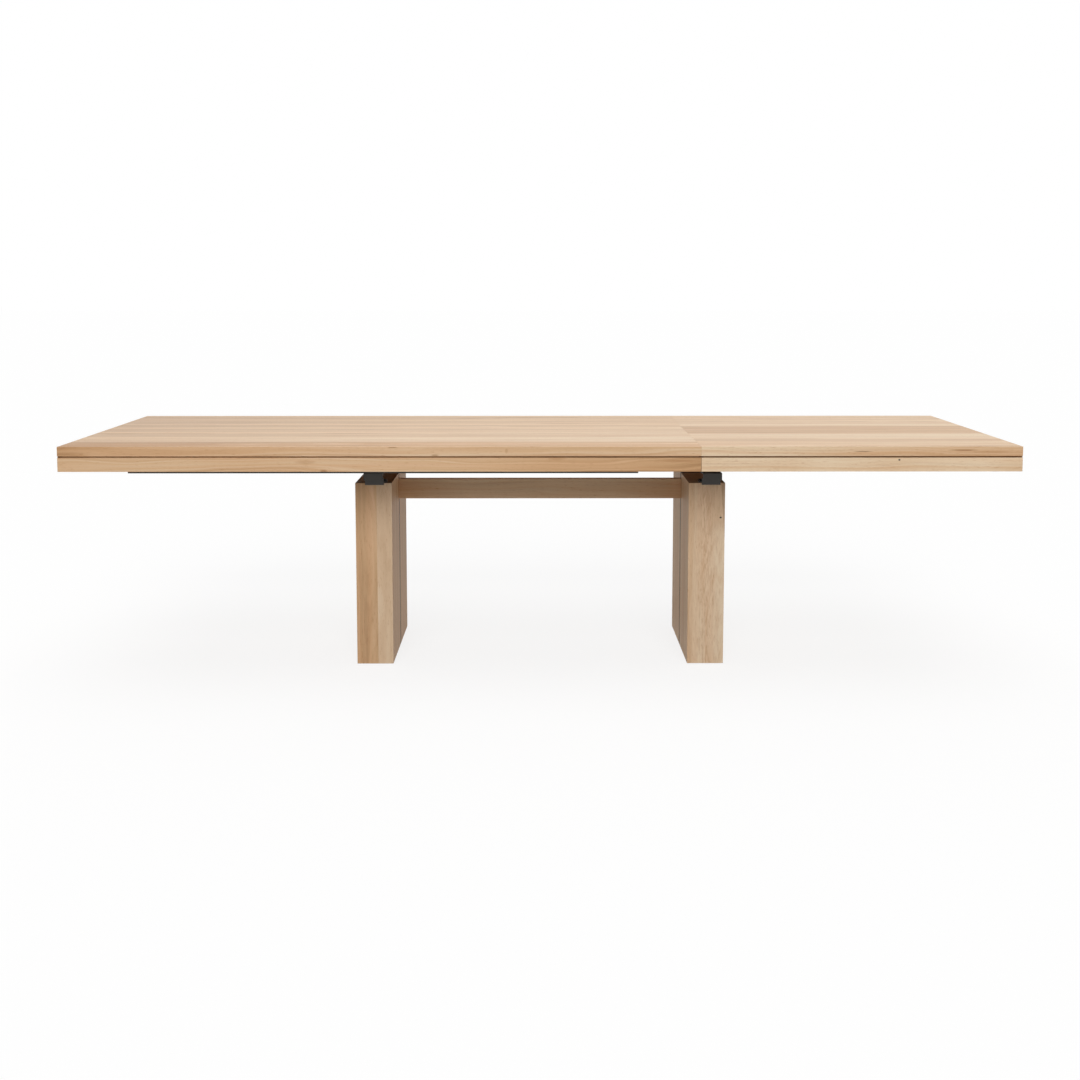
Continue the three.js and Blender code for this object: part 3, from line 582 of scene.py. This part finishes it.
def dress_top(name, start, looks):
    """Dresses a top's panel and its four rims. start is where its runs along X begin."""
    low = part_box(f"{name}_panel")[0]
    along, across, upper, front = AXIS["X"], AXIS["Y"], facing(AXIS["Z"]), facing(-AXIS["Y"])
    panel_washes = [
        ("tone", across, run_from(0, looks["tone_across"]), upper),
        ("tone", along, run_from(start, looks["tone_along"]), upper),
        # Painted sheen: the tops' upper faces are greyed as a sheen would pale them
        ("dry", across, run_from(0, looks["dry_across"]), upper),
        ("streaks", along, evenly(TOP_STREAKS), upper),
        ("tone", along, run_from(start, looks["front_edge"]), front),
    ]
    # Painted shade: the shadow groove's faces are darkened and browned where shade falls in the recess,
    # partly oil and dust
    in_groove = between("Z", low.z - GROOVE_HEIGHT, low.z)
    groove_shade_washes = [(mark, AXIS["Z"], evenly(amount), in_groove) for mark, amount in looks["groove"].items()]
    rim_wash = ("tone", along, run_from(start, looks["rim_along"]))
    wooden(f"{name}_panel", "oak", "X", ("Y", staves(low.y, looks["staves"])), panel_washes, TOP_EDGE)
    for side in SIDES:
        wooden(f"{name}_rim_{side}", "oak", "X", looks["rim_tone"], [rim_wash, *groove_shade_washes], TOP_EDGE)
    for end in ENDS:
        wooden(f"{name}_rim_{end}", "oak", "Y", looks["rim_tone"], groove_shade_washes, TOP_EDGE)


def dress_tops():
    main_left, main_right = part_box("main_panel")
    dress_top("main", main_left.x, TOPS["main"])
    dress_top("leaf", main_right.x, TOPS["leaf"])
    for node in SLOT_OF:
        if "batten" in node:
            wooden(node, "beech", "Y", BEECH_TONE)
        if "runner" in node:
            wooden(node, "beech", "X", BEECH_TONE)


# ---- Legs and crossbeam ----

# Staves are (width in mm, tone) from a leg's left edge, and so are the runs across it. Columns are
# (from, to, run up the leg), all in mm.
LEGS = {
    "left": {
        "staves": ((70, 0.56), (50, 0.32)),
        "across": {
            "tone": (
                (0, 0.0), (8, 0.02), (32, 0.02), (42, -0.14),
                (58, -0.24), (70, -0.06), (90, 0.0), (120, -0.14),
            ),
            "dry": ((0, 0.1), (69, 0.1), (71, 0.35), (120, 0.35)),
        },
        "columns": (
            (0, 120, ((0, 0.12), (300, 0.10), (440, -0.06), (600, 0.0))),
            (32, 70, ((0, 0.06), (250, 0.04), (400, 0.0), (600, 0.0))),
        ),
    },
    "right": {
        "staves": ((60, 0.16), (60, 0.18)),
        "across": {
            "tone": ((0, 0.2), (14, 0.12), (22, -0.06), (32, -0.02), (55, 0.1), (90, 0.06), (120, -0.1)),
            "dry": ((0, 0.2), (20, 0.3), (120, 0.35)),
            "mottle": ((0, 0.1), (30, 0.2), (52, 0.5), (74, 0.4), (96, 0.2), (120, 0.1)),
        },
        "columns": ((60, 120, ((0, 0.0), (440, 0.0), (520, 0.24), (610, 0.24))),),
    },
}
# Painted shade along the joint between a leg's boards, where its V-groove lies in shade, with some dust
JOINT_SHADE_AND_DUST = ((-1000, 0.0), (-11, 0.0), (-6, 1.0), (6, 1.0), (11, 0.0), (1000, 0.0))  # from the leg's joint
# Painted shade: the crossbeam is browner towards its ends, where shade gathers against the legs
BEAM_SHADE_RUN = ((-500, 0.36), (-250, 0.08), (250, 0.08), (500, 0.36))
WEDGE_WIDTH, WEDGE_LENGTH = 12, 168  # mm
WEDGE_RUN = ((-1.4, 0.0), (-0.6, 0.8), (0.4, 0.8), (1.2, 0.5))


def column(start, low_mm, high_mm, outer):
    """The faces of a leg's outer side between two distances from its edge."""
    inside = between("X", start + low_mm * MM, start + high_mm * MM)
    return lambda face: outer(face) and inside(face)


def sapwood_wedge(corner):
    """A browner sliver at a leg's upper corner, where another lamination runs out at a slant."""
    outwards = Vector((WEDGE_LENGTH, 0, WEDGE_WIDTH)).normalized()
    edge = (corner - Vector((WEDGE_WIDTH * MM, 0, 0))).dot(outwards)
    return outwards, [(-FAR, WEDGE_RUN[0][1]), *run_from(edge, WEDGE_RUN), (FAR, WEDGE_RUN[-1][1])]


def dress_legs():
    for end, looks in LEGS.items():
        low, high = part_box(f"leg_{end}_front_board")
        laminations = staves(low.x, looks["staves"])
        for side in SIDES:
            outer = facing(AXIS["Y"] * (-1 if side == "front" else 1))
            washes = [("shade", AXIS["Y"], run_from(0, JOINT_SHADE_AND_DUST))]
            for mark, run in looks["across"].items():
                washes.append((mark, AXIS["X"], run_from(low.x, run), outer))
            for start, stop, run in looks["columns"]:
                washes.append(("tone", AXIS["Z"], run_from(0, run), column(low.x, start, stop, outer)))
            if end == "right":
                washes.append(("tone", *sapwood_wedge(high), outer))
            wooden(f"leg_{end}_{side}_board", "oak", "Z", ("X", laminations), washes)
        wooden(f"leg_{end}_spline", "beech", "Z", BEECH_TONE)
    wooden("crossbeam", "oak", "X", 0.0, [("tone", AXIS["X"], run_from(0, BEAM_SHADE_RUN))])


# ---- Steel and nylon pieces ----

TURNED_NODES = ("foot_", "bracket_screw_", "hook_pivot_", "leaf_stud_")


def dress_steel():
    finishes = {"black_steel": POWDER_COAT, "zinc_steel": ZINC, "nylon": NYLON}
    for node, slot in SLOT_OF.items():
        if slot in finishes and not node.startswith(TURNED_NODES):
            bm = copy_of(node)
            ease_edges(bm, STEEL_EDGE)
            finished(node, bm, finishes[slot])


# ---- Turned fittings: profiles are (radius, height) in mm ----

ROUND = 48
HEAD_RADIUS, HEAD_HEIGHT, HEAD_CHAMFER = 5.5, 5.5, 0.66
SHANK_RADIUS, SHANK_CHAMFER = 3, 0.6
KEY_RADIUS, KEY_DEPTH = 2.5, 3.0
PIVOT_KEY_DEPTH = 2.6
BATTEN_SCREWS_Y = (-400, -30, 30, 400)
RECESS_RADIUS, RECESS_DEPTH, PAN_HEIGHT = 2.4, 1.3, 2.2
CROSS_WAIST = 0.32  # how far a cross recess reaches between its wings, over their tips
CROSS_SHARPNESS = 6
NEAR_MM = 0.01
TURNED_MERGE_DISTANCE = 0.001 * MM


def turned(bm, centre, profile):
    """Adds a solid turned about a vertical axis, from a profile that starts and ends on it."""
    verts = [bm.verts.new(centre + Vector((radius * MM, 0, height * MM))) for radius, height in profile]
    edges = [bm.edges.new(pair) for pair in zip(verts, verts[1:])]
    turn = {"cent": centre, "axis": (0, 0, 1), "angle": 2 * pi, "steps": ROUND, "use_merge": True}
    bmesh.ops.spin(bm, geom=verts + edges, **turn)
    bmesh.ops.remove_doubles(bm, verts=bm.verts, dist=TURNED_MERGE_DISTANCE)
    bmesh.ops.recalc_face_normals(bm, faces=bm.faces)


def socketed(bm, centre, radius, low, high, reach):
    """Pulls the round wall between two heights, in mm, out to a drive's outline."""
    for vert in bm.verts:
        offset = vert.co - centre
        flat = Vector((offset.x, offset.y, 0))
        on_wall = abs(flat.length / MM - radius) < NEAR_MM
        if on_wall and low - NEAR_MM < offset.z / MM < high + NEAR_MM:
            scale = reach(atan2(offset.y, offset.x))
            vert.co = centre + flat * scale + Vector((0, 0, offset.z))


def hexagon(angle):
    """A hexagon's reach at an angle, over the reach of its flats."""
    return 1 / cos((angle + pi / 6) % (pi / 3) - pi / 6)


def cross(angle):
    """The reach of a cross recess, over the tip of its wings."""
    return CROSS_WAIST + (1 - CROSS_WAIST) * abs(cos(2 * angle)) ** CROSS_SHARPNESS


def foot_and_length(node):
    """The middle of a node's lower end, and its height in mm."""
    low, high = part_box(node)
    return Vector(((low.x + high.x) / 2, (low.y + high.y) / 2, low.z)), (high.z - low.z) / MM


def make_bracket_screw(node):
    """A cap screw, head up, with a chamfered head and a hexagon socket."""
    foot, length = foot_and_length(node)
    head = length - HEAD_HEIGHT
    socket = length - KEY_DEPTH
    bm = bmesh.new()
    shank = [(0, 0), (SHANK_RADIUS - SHANK_CHAMFER, 0), (SHANK_RADIUS, SHANK_CHAMFER), (SHANK_RADIUS, head)]
    rim = length - HEAD_CHAMFER
    cap = [(HEAD_RADIUS, head), (HEAD_RADIUS, rim), (HEAD_RADIUS - HEAD_CHAMFER, length)]
    turned(bm, foot, [*shank, *cap, (KEY_RADIUS, length), (KEY_RADIUS, socket), (0, socket)])
    socketed(bm, foot, KEY_RADIUS, socket, length, hexagon)
    finished(node, bm, POWDER_COAT)


def make_foot(node):
    """A nail-on glide: a domed rim round a sunk nail head."""
    foot, length = foot_and_length(node)
    bm = bmesh.new()
    rim = [(0, 1.2), (3.6, 1.2), (4.2, 0.5), (5, 0.1), (12.6, 0), (14.1, 0.4), (14.8, 1.2), (15, 2.2)]
    turned(bm, foot, [*rim, (15, length - 0.4), (14.6, length), (0, length)])
    finished(node, bm, NYLON)


def make_hook_pivot(node):
    """A shoulder screw, head down: its socket shows from below."""
    foot, length = foot_and_length(node)
    bm = bmesh.new()
    socket = [(0, PIVOT_KEY_DEPTH), (KEY_RADIUS, PIVOT_KEY_DEPTH), (KEY_RADIUS, 0)]
    head = [(7.2, 0), (8, 0.8), (8, 4.5)]
    turned(bm, foot, [*socket, *head, (4, 4.5), (4, length - 1), (3, length), (0, length)])
    socketed(bm, foot, KEY_RADIUS, 0, PIVOT_KEY_DEPTH, hexagon)
    finished(node, bm, ZINC)


def make_stud(node):
    foot, length = foot_and_length(node)
    bm = bmesh.new()
    tip = [(0, 0), (4, 0), (4.8, 0.35), (5, 1)]
    turned(bm, foot, [*tip, (5, length - 0.8), (4.2, length), (0, length)])
    finished(node, bm, ZINC)


def make_batten_screws(node):
    """Pan-head screws that hold a batten up to its top."""
    low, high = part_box(node)
    bm = bmesh.new()
    bottom = RECESS_DEPTH - PAN_HEIGHT
    for y in BATTEN_SCREWS_Y:
        place = Vector(((low.x + high.x) / 2, y * MM, low.z))
        recess = [(0, bottom), (RECESS_RADIUS, bottom), (RECESS_RADIUS, -PAN_HEIGHT)]
        turned(bm, place, [*recess, (3.2, -PAN_HEIGHT), (4.2, -1.7), (4.6, -0.9), (4.6, 0.3), (0, 0.3)])
        socketed(bm, place, RECESS_RADIUS, -PAN_HEIGHT, bottom, cross)
    piece(f"{node}_screws", bm, BODY_OF[node], "zinc_steel", ZINC)


def make_fittings():
    for end in ENDS:
        for side in SIDES:
            make_bracket_screw(f"bracket_screw_{end}_{side}")
            make_foot(f"foot_{end}_{side}")
    for side in SIDES:
        make_hook_pivot(f"hook_pivot_{side}")
        make_stud(f"leaf_stud_{side}")
    for node in SLOT_OF:
        if "batten" in node:
            make_batten_screws(node)


# ---- Studio ----

WHITE = "#ffffff"
FLOOR_PAINT = "#b6b6b6"
FLOOR_HALF_SIDE = 60
FLOOR_SHADOW_SHARE = 0.22
LIT_FLOOR = 0.93  # about what the studio's light makes of a white floor
FLOOR_GLOW = 1.01 - LIT_FLOOR * FLOOR_SHADOW_SHARE  # brings the lit floor up to white
ROOM_LEVEL = 0.25


def seen_as_background(tree):
    """1 for the camera's, mirrors' and glass's view of the background, 0 for the light it sheds."""
    path = add(tree, "LightPath", {}).outputs
    seen = path["Is Camera Ray"]
    for other in ("Is Glossy Ray", "Is Transmission Ray"):
        seen = add(tree, "Math", {"operation": "MAXIMUM"}, Value=seen, Value_001=path[other]).outputs[0]
    return seen


def add_floor():
    """A pale floor that looks white, and still takes the table's soft shadow."""
    material, tree = new_material("pale_studio_floor")
    paint = add(tree, "BsdfDiffuse", {"Color": linear(FLOOR_PAINT)}).outputs[0]
    glow = add(tree, "Emission", {"Color": linear(WHITE), "Strength": FLOOR_GLOW}).outputs[0]
    shadowed = add(tree, "BsdfDiffuse", {"Color": (*[FLOOR_SHADOW_SHARE] * 3, 1)}).outputs[0]
    white = add(tree, "AddShader", {}, Shader=glow, Shader_001=shadowed).outputs[0]
    mixed = add(tree, "MixShader", {}, Fac=seen_as_background(tree), Shader=paint, Shader_001=white)
    add(tree, "OutputMaterial", {}, Surface=mixed.outputs[0])
    bm = bmesh.new()
    bmesh.ops.create_grid(bm, x_segments=1, y_segments=1, size=FLOOR_HALF_SIDE)
    mesh = bpy.data.meshes.new("floor")
    bm.to_mesh(mesh)
    bm.free()
    mesh.materials.append(material)
    floor = bpy.data.objects.new("floor", mesh)
    bpy.context.scene.collection.objects.link(floor)


def add_world():
    world = bpy.data.worlds.new("studio")
    bpy.context.scene.world = world
    world.use_nodes = True
    tree = world.node_tree
    tree.nodes.clear()
    room = add(tree, "Background", {"Color": linear(WHITE), "Strength": ROOM_LEVEL}).outputs[0]
    white = add(tree, "Background", {"Color": linear(WHITE), "Strength": 1.0}).outputs[0]
    mixed = add(tree, "MixShader", {}, Fac=seen_as_background(tree), Shader=room, Shader_001=white)
    add(tree, "OutputWorld", {}, Surface=mixed.outputs[0])


def add_soft_light(name, elevation, width, strength, turn=0):
    """A broad, even light, this many degrees up and wide, from the front or turned round the table."""
    data = bpy.data.lights.new(name, "SUN")
    data.angle = radians(width)
    data.energy = strength
    lamp = bpy.data.objects.new(name, data)
    lamp.rotation_euler = (pi / 2 - radians(elevation), 0, radians(turn))
    bpy.context.scene.collection.objects.link(lamp)


def add_studio():
    add_world()
    add_floor()
    add_soft_light("overhead_light", elevation=90, width=60, strength=0.92)
    add_soft_light("front_light", elevation=31, width=38, strength=1.52)
    add_soft_light("rear_light", elevation=35, width=50, strength=0.35, turn=180)
    bpy.context.scene.view_settings.view_transform = "Standard"


add_camera()
add_studio()
dress_tops()
dress_legs()
dress_steel()
make_fittings()
